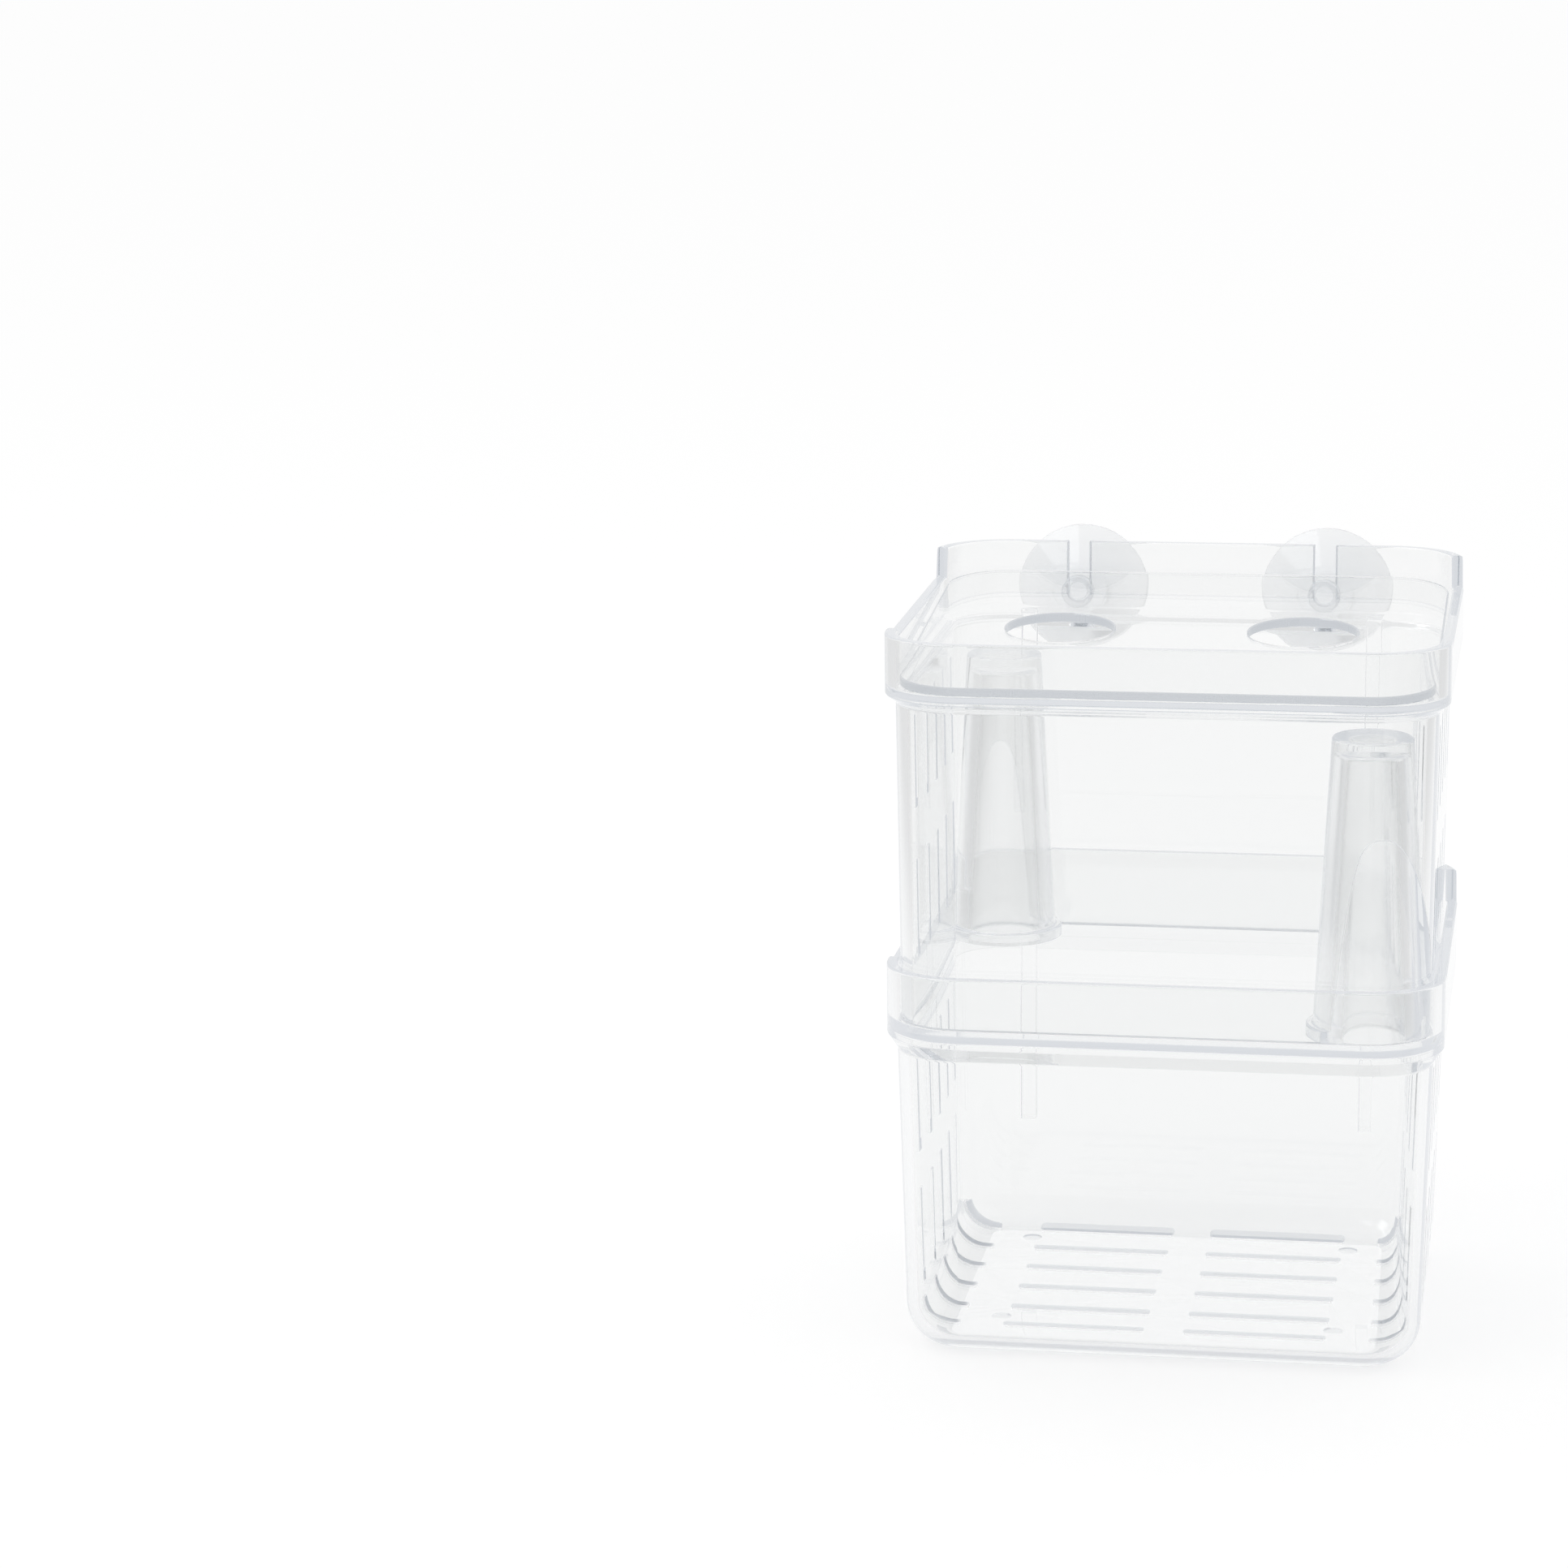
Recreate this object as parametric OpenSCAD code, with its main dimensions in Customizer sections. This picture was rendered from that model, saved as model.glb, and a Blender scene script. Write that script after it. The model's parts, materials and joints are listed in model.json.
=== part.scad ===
// Fish breeding box: a slotted tray, an open sleeve tray stacked on it, a loose lid and two suction cups.
// It stands on z = 0, with X to the right, Y to the back and Z up. All sizes are millimetres.

/* [Collars] */
// Outer width of both collars
collar_w = 100; // [90:1:130]
// Outer depth of both collars
collar_d = 88.3; // [80:0.1:110]
// Outer corner radius of both collars
collar_r = 14; // [13:0.5:18]
// Thickness of every tray wall and collar
wall_t = 2; // [1.6:0.1:2.4]
// How far a tray wall is set in below its collar
step_in = 1.9; // [1.6:0.1:2.4]
// How far the back of a collar stands above its front
back_rise = 4.4; // [2:0.1:8]
// How far the side finger notches lie below the front of a collar
side_drop = 1.3; // [0.6:0.1:4]
// From the collar's front face to the front end of a finger notch
notch_front = 16; // [10:0.5:24]
// From the collar's back face to the back end of a finger notch
notch_back = 11.2; // [8:0.1:20]

/* [Lower tray] */
// From the base to the lower edge of the collar
lower_body_h = 59.1; // [50:0.1:90]
// From the lower edge of the collar to its front rim
lower_rim_h = 12.8; // [10:0.1:20]
// How much each wall leans in towards the base
lower_draft = 1.4; // [0.6:0.1:3]
// Thickness of the floor
floor_t = 2; // [1.6:0.1:3]
// Outer radius where the floor turns up into the walls
base_r = 8; // [6:0.5:10]
// Height of the slope by which the wall widens into the lower collar
lower_slope_h = 2.8; // [1:0.1:4]
// From the collar's lower edge to the top of the sloping ledge inside it
lower_ledge_rise = 3.1; // [2:0.1:4]

/* [Upper tray] */
// From the open bottom edge to the lower edge of the collar
upper_body_h = 59.6; // [50:0.1:90]
// From the lower edge of the collar to its front rim
upper_rim_h = 10.9; // [9:0.1:16]
// How much each wall leans in towards the open bottom
upper_draft = 0.75; // [0.4:0.05:1.4]
// Height of the slope by which the wall widens into the upper collar
upper_slope_h = 1.4; // [0.8:0.1:2.4]
// From the collar's lower edge to the top of the sloping ledge inside it
upper_ledge_rise = 1.4; // [1.2:0.1:2]

/* [Float columns] */
// Height of a float column
column_h = 53.8; // [40:0.1:58]
// Outer radius of a float column at its foot
column_foot_r = 9.9; // [8.5:0.1:12]
// Outer radius of a float column at its closed top
column_top_r = 7.1; // [5.5:0.1:8.4]
// Thickness of the column's wall and of its closed top
column_t = 3; // [1.6:0.1:3.6]
// How far the column's foot runs into the side wall
column_sink_x = 1.1; // [0.5:0.1:1.9]
// How far the column's foot runs into the front or back wall
column_sink_y = 2.3; // [0.8:0.1:2.6]
// How far the rim round the column's mouth stands out
mouth_rim_out = 1.1; // [0.5:0.1:2]
// Height of the rim round the column's mouth
mouth_rim_h = 2.2; // [1:0.1:4]

/* [Water slots] */
// Number of slot rows across the floor
slot_rows = 6; // [3:1:7]
// Distance from one slot row to the next
slot_pitch = 11.95; // [9:0.05:12.5]
// How far the slot rows lie behind the middle of the floor
slot_shift_y = 3.6; // [-4:0.1:4]
// Width of a slot
slot_w = 2.1; // [1:0.1:2.6]
// Gap along the middle of the floor between the two slot groups
slot_spine = 7.7; // [5:0.1:12]
// Length of a floor slot
slot_len = 25.4; // [16:0.1:28]
// From the end of a floor slot to the start of the slot that turns up the side wall
slot_gap = 8.1; // [4:0.1:12]
// Height up to which the turned-up slots reach
turned_slot_top = 7; // [4:0.5:9]
// Lowest point of the lower row of wall slots, above a tray's bottom
low_row_z = 10; // [9.5:0.5:14]
// Height of the lower row of wall slots
low_row_h = 18; // [10:0.5:22]
// Wall left between the two rows of wall slots in the lower tray
lower_row_gap = 7; // [4:0.5:12]
// Wall left between the two rows of wall slots in the upper tray
upper_row_gap = 9.5; // [4:0.5:12]
// From the top of the upper row of wall slots to the collar
top_row_gap = 5; // [4.5:0.5:10]
// Radius of the four round pin marks in the floor
pin_mark_r = 1.8; // [1:0.1:3]
// Depth of the four round pin marks in the floor
pin_mark_depth = 0.3; // [0.2:0.1:0.6]

/* [Back ribs] */
// Distance between the two stand-off ribs on the back of each tray
rib_spread = 66; // [50:1:68]
// Width of a stand-off rib
rib_w = 3; // [2:0.1:5]
// Length of a stand-off rib below its collar
rib_len = 37; // [20:1:44]
// How far a stand-off rib stays inside the collar's back face
rib_inset = 0.4; // [0.2:0.1:1]

/* [Lid] */
// Thickness of the lid
lid_t = 1.7; // [1.2:0.1:2.4]
// Gap between the lid and the collar round it
lid_gap = 0.7; // [0.5:0.1:1.2]
// Radius of a feed hole
feed_hole_r = 10; // [7:0.5:13]
// Distance between the centres of the two feed holes
feed_hole_spread = 44.4; // [32:0.1:50]

/* [Suction cups] */
// Distance between the two suction cups
cup_spread = 47; // [32:1:56]
// Radius of a suction cup's lip
cup_r = 12.6; // [9:0.1:14]
// From the collar's back face to the lip
cup_reach = 7.6; // [6:0.1:10]
// Depth of the hollow in a cup
cup_hollow = 3; // [2:0.1:4]
// Width of the slot that holds a cup's neck
neck_slot_w = 4; // [3:0.1:6]
// Height of the cup's axis above the collar's lower edge
cup_axis_rise = 4.6; // [4.6:0.1:5.5]
// Radius of the button behind the collar
button_r = 3.1; // [2.6:0.1:3.1]
// Thickness of the button
button_t = 2.8; // [2:0.1:4]

/* [Fits] */
// Clearance between pieces that move on each other
clearance = 0.3; // [0.2:0.05:0.4]

/* [Hidden] */
$fn = 48;

over = 1;
corner_x = collar_w / 2 - collar_r;
corner_y = collar_d / 2 - collar_r;
front_y = -collar_d / 2;
back_y = collar_d / 2;
collar_in = collar_r - wall_t;
body_out = collar_r - step_in;

body_in = body_out - wall_t;
upper_foot_out = body_out - upper_draft;
upper_foot_in = upper_foot_out - wall_t;

lower_ledge_top_z = lower_body_h + lower_ledge_rise;
lower_ledge_foot_z = lower_ledge_top_z - lower_slope_h;
lower_steepness = lower_slope_h / step_in;
foot_rest_z = lower_ledge_foot_z + (upper_foot_out - body_in) * lower_steepness;
upper_z = foot_rest_z + clearance * sqrt(1 + pow(lower_steepness, 2));
upper_collar_z = upper_z + upper_body_h;
upper_ledge_top_z = upper_collar_z + upper_ledge_rise;
upper_ledge_foot_z = upper_ledge_top_z - upper_slope_h;
upper_steepness = upper_slope_h / step_in;

column_x = corner_x + upper_foot_in + column_sink_x - column_foot_r;
column_y = corner_y + upper_foot_in + column_sink_y - column_foot_r;

slot_y = [for (row = [0:slot_rows - 1]) slot_shift_y + (row - (slot_rows - 1) / 2) * slot_pitch];
wall_slot_y = [for (y = slot_y) if (abs(y) + slot_w / 2 < corner_y) y];
slot_start_x = slot_spine / 2;
turned_slot_x = slot_start_x + slot_len + slot_gap;

neck_r = neck_slot_w / 2 - clearance;
cup_axis_z = upper_collar_z + cup_axis_rise;
button_y = back_y - wall_t - clearance;
button_front_y = button_y - button_t;

lid_front_y = front_y + wall_t + lid_gap;
lid_w = collar_w - 2 * (wall_t + lid_gap);
lid_d = collar_d - 2 * (wall_t + lid_gap);
lid_r = collar_in - lid_gap;
lid_rest_z = upper_ledge_foot_z + (step_in - lid_gap) * upper_steepness;
lid_z = lid_rest_z + clearance * sqrt(1 + pow(upper_steepness, 2));
lid_climb = cup_axis_z + button_r + clearance - lid_z;
lid_tilt = atan(lid_climb / (button_front_y - lid_front_y));

// Sweeps a wall's section round the box: x in the section is the distance out from the corner centres.
module round_the_box() {
    for (quarter = [0:3]) {
        side_x = quarter == 0 || quarter == 3 ? corner_x : -corner_x;
        side_y = quarter < 2 ? corner_y : -corner_y;
        translate([side_x, side_y, 0]) rotate([0, 0, 90 * quarter]) rotate_extrude(angle = 90) children();
    }
    for (side = [0:3]) {
        reach = side % 2 == 0 ? corner_x : corner_y;
        half_run = side % 2 == 0 ? corner_y : corner_x;
        rotate([0, 0, 90 * side]) translate([reach, half_run, 0]) rotate([90, 0, 0])
            linear_extrude(height = 2 * half_run) children();
    }
}

// Fills the middle that the sweep leaves open, between two heights.
module middle_block(low, high) {
    translate([-corner_x, -corner_y, low]) cube([2 * corner_x, 2 * corner_y, high - low]);
}

// Section of a leaning wall, filled to the corner centre: it leans in by draft from high down to low.
module leaning_section(low, high, out_high, draft) {
    polygon([[0, low], [out_high - draft, low], [out_high, high], [0, high]]);
}

// The same with a rounded lower corner, above which the wall leans.
module rounded_section(low, high, out_high, draft, radius) {
    round_x = out_high - draft - radius;
    round_z = low + radius;
    out_low = round_x + radius;
    polygon([[0, low], [round_x, low], [round_x, round_z], [out_low, round_z], [out_high, high], [0, high]]);
    translate([round_x, round_z]) intersection() {
        circle(r = radius);
        translate([0, -radius - over]) square(radius + over);
    }
}

// Section of a widening slope with the upright collar above it, filled to the corner centre.
module widening_section(foot_z, foot_out, slope_h, out, top_z) {
    polygon([[0, foot_z], [foot_out, foot_z], [out, foot_z + slope_h], [out, top_z], [0, top_z]]);
}

// Section of a rim: the last stretch of a collar's wall, with a round top.
module rim_section(base_z, top_z) {
    intersection() {
        union() {
            translate([collar_in, base_z - over]) square([wall_t, top_z - wall_t / 2 - base_z + over]);
            translate([collar_r - wall_t / 2, top_z - wall_t / 2]) circle(d = wall_t);
        }
        translate([0, base_z]) square([collar_r + over, top_z - base_z + over]);
    }
}

// The three heights of a rim: low at the finger notches, higher at the front and highest at the back.
module stepped_rim(front_top) {
    base_z = front_top - side_drop - wall_t / 2;
    notch_from = front_y + notch_front;
    notch_to = back_y - notch_back;
    rims = [
        [front_y - over, notch_from, front_top],
        [notch_from, notch_to, front_top - side_drop],
        [notch_to, back_y + over, front_top + back_rise]
    ];
    for (rim = rims) {
        intersection() {
            round_the_box() rim_section(base_z, rim[2]);
            translate([-collar_w / 2 - over, rim[0], base_z - over])
                cube([collar_w + 2 * over, rim[1] - rim[0], rim[2] - base_z + 2 * over]);
        }
    }
}

// Upright slots through the two side walls, in two rows.
module wall_slots(tray_z, collar_z, inner_x, row_gap) {
    upper_row_z = tray_z + low_row_z + low_row_h + row_gap;
    rows = [
        [tray_z + low_row_z, tray_z + low_row_z + low_row_h],
        [upper_row_z, collar_z - top_row_gap]
    ];
    for (side = [-1, 1], y = wall_slot_y, row = rows) {
        translate([side > 0 ? inner_x : -inner_x - 2 * wall_t - step_in, y - slot_w / 2, row[0]])
            cube([2 * wall_t + step_in, slot_w, row[1] - row[0]]);
    }
}

// Stand-off ribs under the back of a collar, which end just inside its back face.
module back_ribs(collar_z, draft) {
    inner_y = corner_y + body_out - draft - wall_t / 2;
    for (side = [-1, 1]) {
        translate([side * rib_spread / 2 - rib_w / 2, inner_y, collar_z - rib_len])
            cube([rib_w, back_y - rib_inset - inner_y, rib_len + wall_t / 2]);
    }
}

// Slots in the floor, and the slots at its two ends that turn up the side walls.
module floor_slots() {
    for (side = [-1, 1], y = slot_y) {
        translate([side > 0 ? slot_start_x : -slot_start_x - slot_len, y - slot_w / 2, -over])
            cube([slot_len, slot_w, floor_t + 2 * over]);
        translate([side > 0 ? turned_slot_x : -collar_w / 2, y - slot_w / 2, -over])
            cube([collar_w / 2 - turned_slot_x, slot_w, turned_slot_top + over]);
    }
}

// Round marks that the ejector pins leave in the floor, between the slot groups and the turned-up slots.
module pin_marks() {
    mark_x = slot_start_x + slot_len + slot_gap / 2 - pin_mark_r / 2;
    for (x = [-mark_x, mark_x], y = [slot_y[0] + slot_pitch / 2, slot_y[len(slot_y) - 1] - slot_pitch / 2])
        translate([x, y, floor_t - pin_mark_depth]) cylinder(r = pin_mark_r, h = pin_mark_depth + over);
}

module lower_tray() {
    rim_z = lower_body_h + lower_rim_h;
    rim_base_z = rim_z - side_drop - wall_t / 2;
    shoulder_z = lower_body_h - lower_slope_h;
    inner_top_z = rim_base_z + over;
    inner_draft = lower_draft * (lower_ledge_foot_z - floor_t) / shoulder_z;
    color([0.85, 0.9, 0.95, 0.35]) {
        difference() {
            union() {
                round_the_box() difference() {
                    union() {
                        rounded_section(0, shoulder_z, body_out, lower_draft, base_r);
                        widening_section(shoulder_z, body_out, lower_slope_h, collar_r, rim_base_z);
                    }
                    rounded_section(floor_t, lower_ledge_foot_z, body_in, inner_draft, base_r - floor_t);
                    widening_section(lower_ledge_foot_z, body_in, lower_slope_h, collar_in, inner_top_z);
                }
                middle_block(0, floor_t);
                back_ribs(lower_body_h, lower_draft);
            }
            floor_slots();
            wall_slots(0, lower_body_h, corner_x + body_in - lower_draft - step_in / 2, lower_row_gap);
            pin_marks();
        }
        stepped_rim(rim_z);
    }
}

// Outer form of both float columns, with the rim round each mouth.
module columns() {
    for (side = [-1, 1]) translate([side * column_x, -side * column_y, upper_z]) {
        cylinder(r1 = column_foot_r, r2 = column_top_r, h = column_h);
        cylinder(r = column_foot_r + mouth_rim_out, h = mouth_rim_h);
    }
}

// Air space inside both float columns, open below.
module column_hollows() {
    slope = (column_foot_r - column_top_r) / column_h;
    hollow_h = column_h - column_t;
    mouth_r = column_foot_r - column_t;
    for (side = [-1, 1]) translate([side * column_x, -side * column_y, upper_z - over])
        cylinder(r1 = mouth_r + slope * over, r2 = mouth_r - slope * hollow_h, h = hollow_h + over);
}

// Slots in the back of the upper collar, open above, that hold the necks of the suction cups.
module neck_slots() {
    for (side = [-1, 1]) translate([side * cup_spread / 2, back_y + over, cup_axis_z]) {
        rotate([90, 0, 0]) cylinder(d = neck_slot_w, h = wall_t + over + clearance);
        translate([-neck_slot_w / 2, -wall_t - over - clearance, 0])
            cube([neck_slot_w, wall_t + over + clearance, upper_rim_h + back_rise]);
    }
}

module upper_tray() {
    rim_z = upper_collar_z + upper_rim_h;
    rim_base_z = rim_z - side_drop - wall_t / 2;
    shoulder_z = upper_collar_z - upper_slope_h;
    color([0.85, 0.9, 0.95, 0.35]) difference() {
        union() {
            round_the_box() difference() {
                union() {
                    leaning_section(upper_z, shoulder_z, body_out, upper_draft);
                    widening_section(shoulder_z, body_out, upper_slope_h, collar_r, rim_base_z);
                }
                leaning_section(upper_z, upper_ledge_foot_z, body_in, upper_draft);
                widening_section(upper_ledge_foot_z, body_in, upper_slope_h, collar_in, rim_base_z + over);
            }
            intersection() {
                columns();
                union() {
                    round_the_box() leaning_section(upper_z, shoulder_z, body_out, upper_draft);
                    middle_block(upper_z, shoulder_z);
                }
            }
            back_ribs(upper_collar_z, upper_draft);
            stepped_rim(rim_z);
        }
        column_hollows();
        wall_slots(upper_z, upper_collar_z, corner_x + upper_foot_in - step_in / 4, upper_row_gap);
        neck_slots();
    }
}

// A loose plate with two feed holes. Its front edge lies on the ledge, its back rests on the cups' buttons.
module lid() {
    color([0.85, 0.9, 0.95, 0.35]) translate([0, lid_front_y, lid_z]) rotate([lid_tilt, 0, 0])
        translate([0, lid_d / 2, 0]) linear_extrude(height = lid_t) difference() {
            union() {
                square([lid_w - 2 * lid_r, lid_d], center = true);
                square([lid_w, lid_d - 2 * lid_r], center = true);
                for (x = [-1, 1], y = [-1, 1])
                    translate([x * (lid_w / 2 - lid_r), y * (lid_d / 2 - lid_r)]) circle(r = lid_r);
            }
            for (side = [-1, 1]) translate([side * feed_hole_spread / 2, 0]) circle(r = feed_hole_r);
        }
}

// One suction cup: a button in front of the collar, a neck in its slot and a dished cup behind it.
module suction_cup(side) {
    lip_t = 0.6;
    hub_r = cup_r * 0.42;
    hub_y = clearance;
    lip_y = cup_reach;
    skirt_y = cup_reach - cup_hollow;
    button_y0 = -wall_t - clearance - button_t;
    color([0.9, 0.93, 0.95, 0.6]) translate([side * cup_spread / 2, back_y, cup_axis_z]) rotate([-90, 0, 0])
        rotate_extrude() {
            polygon([
                [0, hub_y], [hub_r, hub_y], [hub_r, hub_y + 1.2], [cup_r, lip_y - lip_t], [cup_r, lip_y],
                [cup_r - lip_t, lip_y], [hub_r, skirt_y + 0.6], [0, skirt_y]
            ]);
            translate([0, button_y0 + button_t / 2]) square([neck_r, wall_t + 2 * clearance + button_t]);
            translate([0, button_y0]) square([button_r, button_t]);
        }
}

module suction_cup_left() {
    suction_cup(-1);
}

module suction_cup_right() {
    suction_cup(1);
}

lower_tray();
upper_tray();
lid();
suction_cup_left();
suction_cup_right();
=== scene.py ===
# %% [markdown]
# A fish breeding box is a small clear tank that hangs inside an aquarium. Two trays are stacked,
# a loose lid lies on top and two suction cups hold the stack to the glass. The box could be drawn
# here from nothing, but it is already built and packed as a model of solids. That model is the
# frame: it gives every size and place, and the pieces made below are dressed on to it.

import bpy
import bmesh
import json
import math
from mathutils import Euler, Matrix, Vector


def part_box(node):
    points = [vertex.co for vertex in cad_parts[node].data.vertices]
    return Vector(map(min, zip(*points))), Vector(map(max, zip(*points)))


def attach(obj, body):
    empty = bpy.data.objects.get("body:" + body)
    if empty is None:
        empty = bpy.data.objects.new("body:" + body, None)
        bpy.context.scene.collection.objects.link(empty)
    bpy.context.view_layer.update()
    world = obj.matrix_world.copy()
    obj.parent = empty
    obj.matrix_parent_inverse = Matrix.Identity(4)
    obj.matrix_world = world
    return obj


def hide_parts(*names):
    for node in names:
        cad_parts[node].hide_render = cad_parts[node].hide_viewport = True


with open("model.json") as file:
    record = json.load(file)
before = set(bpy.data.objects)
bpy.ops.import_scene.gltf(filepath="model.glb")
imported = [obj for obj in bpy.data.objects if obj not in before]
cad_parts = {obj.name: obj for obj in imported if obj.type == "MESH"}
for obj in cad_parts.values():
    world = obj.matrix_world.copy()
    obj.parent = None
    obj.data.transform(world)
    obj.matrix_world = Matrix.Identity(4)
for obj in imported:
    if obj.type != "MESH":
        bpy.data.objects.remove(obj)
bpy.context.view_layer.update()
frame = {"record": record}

# %% [markdown]
# All pieces are worked out in millimetres, as the moulds would be drawn, and turned into metres
# only when a mesh is made. The overall sizes could be typed in, but then they could go stale:
# they are read from the boxes of the frame's nodes and from the mounts in its record.

# %% Sizes that the frame gives
MM = 0.001


def box_mm(node):
    low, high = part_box(node)
    return [v / MM for v in low], [v / MM for v in high]


lower_low, lower_high = box_mm("lower_tray")
upper_low, upper_high = box_mm("upper_tray")
mounts = {m["name"]: m for m in frame["record"]["mounts"]}

collar_w = lower_high[0] - lower_low[0]
front_y = lower_low[1]
back_y = -front_y
collar_d = back_y - front_y
print(f"collar {collar_w:.1f} x {collar_d:.1f} mm")

# %% [markdown]
# The wall, the collar's radius and the steps of the rim can't be read from a box, so they are
# named here. The four corner centres matter most: every wall of both trays is so far out from
# them.

# %% Sizes of the mouldings, in millimetres
COLLAR_R = 14.0
WALL = 2.0
STEP_IN = 1.9
corner_x = collar_w / 2 - COLLAR_R
corner_y = collar_d / 2 - COLLAR_R
collar_in = COLLAR_R - WALL
body_out = COLLAR_R - STEP_IN
body_in = body_out - WALL

BACK_RISE = 4.4
SIDE_DROP = 1.3
NOTCH_FROM_FRONT = 16.0
NOTCH_FROM_BACK = 11.2
notch_from = front_y + NOTCH_FROM_FRONT
notch_to = back_y - NOTCH_FROM_BACK
print(f"corner centres at {corner_x:.1f}, {corner_y:.2f} mm")
print(f"finger notches from {notch_from:.1f} to {notch_to:.1f} mm")

# %% [markdown]
# Each tray is a drafted shell: the same wall section goes all the way round a rounded rectangle.
# That could be a cube with bevels, or a curve with a bevel profile. Here the section is swept by
# hand, as rings of points, because clear plastic shows every facet, and this gives clean strips
# of quads and true radii. A section is a list of (out, z), where out is the distance from the
# corner centres. Its corners are rounded first, in steps of a few degrees each.

# %% Round the corners of a section
STEP_TURN = math.radians(6.5)
NEARLY_STRAIGHT = math.radians(89)
MOST_OF_A_SIDE = 0.49


def soften(points):
    """points are (out, z, radius); the ends are kept as they are."""
    line = [points[0][:2]]
    for before, here, after in zip(points, points[1:], points[2:]):
        at = Vector(here[:2])
        to_before = Vector(before[:2]) - at
        to_after = Vector(after[:2]) - at
        radius = here[2]
        half = to_before.angle(to_after) / 2
        if radius <= 0 or half > NEARLY_STRAIGHT:
            line.append(tuple(at))
            continue
        sides = [MOST_OF_A_SIDE * side.length for side in (to_before, to_after)]
        reach = min(radius / math.tan(half), *sides)
        start = at + to_before.normalized() * reach
        end = at + to_after.normalized() * reach
        steps = math.ceil((math.pi - 2 * half) / STEP_TURN)
        for k in range(steps + 1):
            t = k / steps
            line.append(tuple((1 - t) ** 2 * start + 2 * t * (1 - t) * at + t * t * end))
    line.append(points[-1][:2])
    return line


print("points on a square corner:", len(soften([(0, 0, 0), (2, 0, 1), (2, 2, 0)])) - 2)


# %% An arc in a section
ARC_STEPS = 10


def arc(center, radius, from_deg, to_deg, steps=ARC_STEPS):
    """Points (out, z) on an arc, both ends included."""
    turn = [math.radians(from_deg + (to_deg - from_deg) * k / steps) for k in range(steps + 1)]
    return [(center[0] + radius * math.cos(a), center[1] + radius * math.sin(a)) for a in turn]


print("points on an arc:", len(arc((0, 0), 1, 0, 90)))

# %% [markdown]
# The rim isn't level: it is low at the two finger notches in the sides, higher in front and
# highest at the back, where it carries the suction cups. That could be cut with a boolean, which
# would leave knife edges. Instead the top of the section is lifted on its way round, by a curve
# with a soft foot and a soft top, as the moulded step has.

# %% The rim's height
STEP_SOFT = 0.9


def rim_lift(y):
    """How far the rim stands above its height in front."""

    def rise(edge):
        t = min(max((y - edge) / STEP_SOFT + 0.5, 0), 1)
        return t * t * (3 - 2 * t)

    return SIDE_DROP * (rise(notch_to) - rise(notch_from)) + BACK_RISE * rise(notch_to)


print(f"rim at the notches {rim_lift(0):+.1f} mm, at the back {rim_lift(back_y):+.1f} mm")

# %% [markdown]
# The sweep stops at stations on its way round: many on the four corners, none on the straight
# walls, and a close row of them wherever the rim steps up. Even steps all the way round would be
# simpler, but they would waste faces on the flat walls and be too coarse where the rim rises.

# %% Stations round a rounded rectangle
CORNER_STEPS = 20
STEP_PARTS = 8
PARTS_EACH_WAY = 6
CORNER_SIDES = ((1, 1), (-1, 1), (-1, -1), (1, -1))


def stations(half_x, half_y, radius, at_y=()):
    """(corner centre x, y, outward x, y) all the way round, with a close row at each y in at_y."""
    angles = {90.0 * q + 90.0 * k / CORNER_STEPS for q in range(4) for k in range(CORNER_STEPS + 1)}
    straight = set()
    for y in at_y:
        for k in range(-PARTS_EACH_WAY, PARTS_EACH_WAY + 1):
            v = y + STEP_SOFT * (k / STEP_PARTS)
            if abs(v) < half_y:
                straight.add(v)
            elif abs(v) - half_y < radius:
                tip = math.degrees(math.asin((abs(v) - half_y) / radius))
                angles |= {tip, 180 - tip} if v > 0 else {360 - tip, 180 + tip}
    ring = []
    for angle in sorted(angles - {360.0}):
        out = (math.cos(math.radians(angle)), math.sin(math.radians(angle)))
        quarter = int(angle // 90)
        corners = [quarter] if angle % 90 else [quarter - 1, quarter]
        ring += [(CORNER_SIDES[c][0] * half_x, CORNER_SIDES[c][1] * half_y, *out) for c in corners]
        if angle in (0, 180):
            side = 1 if angle == 0 else -1
            extra = [(side * half_x, v, *out) for v in sorted(straight, reverse=side < 0)]
            ring[-1:-1] = extra
    return ring


print("stations round a tray:", len(stations(corner_x, corner_y, COLLAR_R, (notch_from, notch_to))))

# %% [markdown]
# Not every face of a clear moulding is equally clear. The walls come from polished steel. The
# blades that make the slots leave a hazier face, and the long core pins inside the float columns a
# satin one. The faces of the slots, the pin marks and the upper tray's foot are also painted grey:
# that is painted shade, for the dark lines that such faces show in clear plastic. The lowest front
# edge of the foot is painted grey as well, a painted contact shade where the box meets the table.
# Those faces are what one sees of a slot or an edge in clear plastic. They could have materials of
# their own, but one material that varies keeps the piece one piece of plastic. So each face carries
# its finish: first as an empty material slot, because booleans hand that on from the cutter to the
# cut, and at the end as two numbers, grey (painted shade) and haze, that the material reads.

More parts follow.
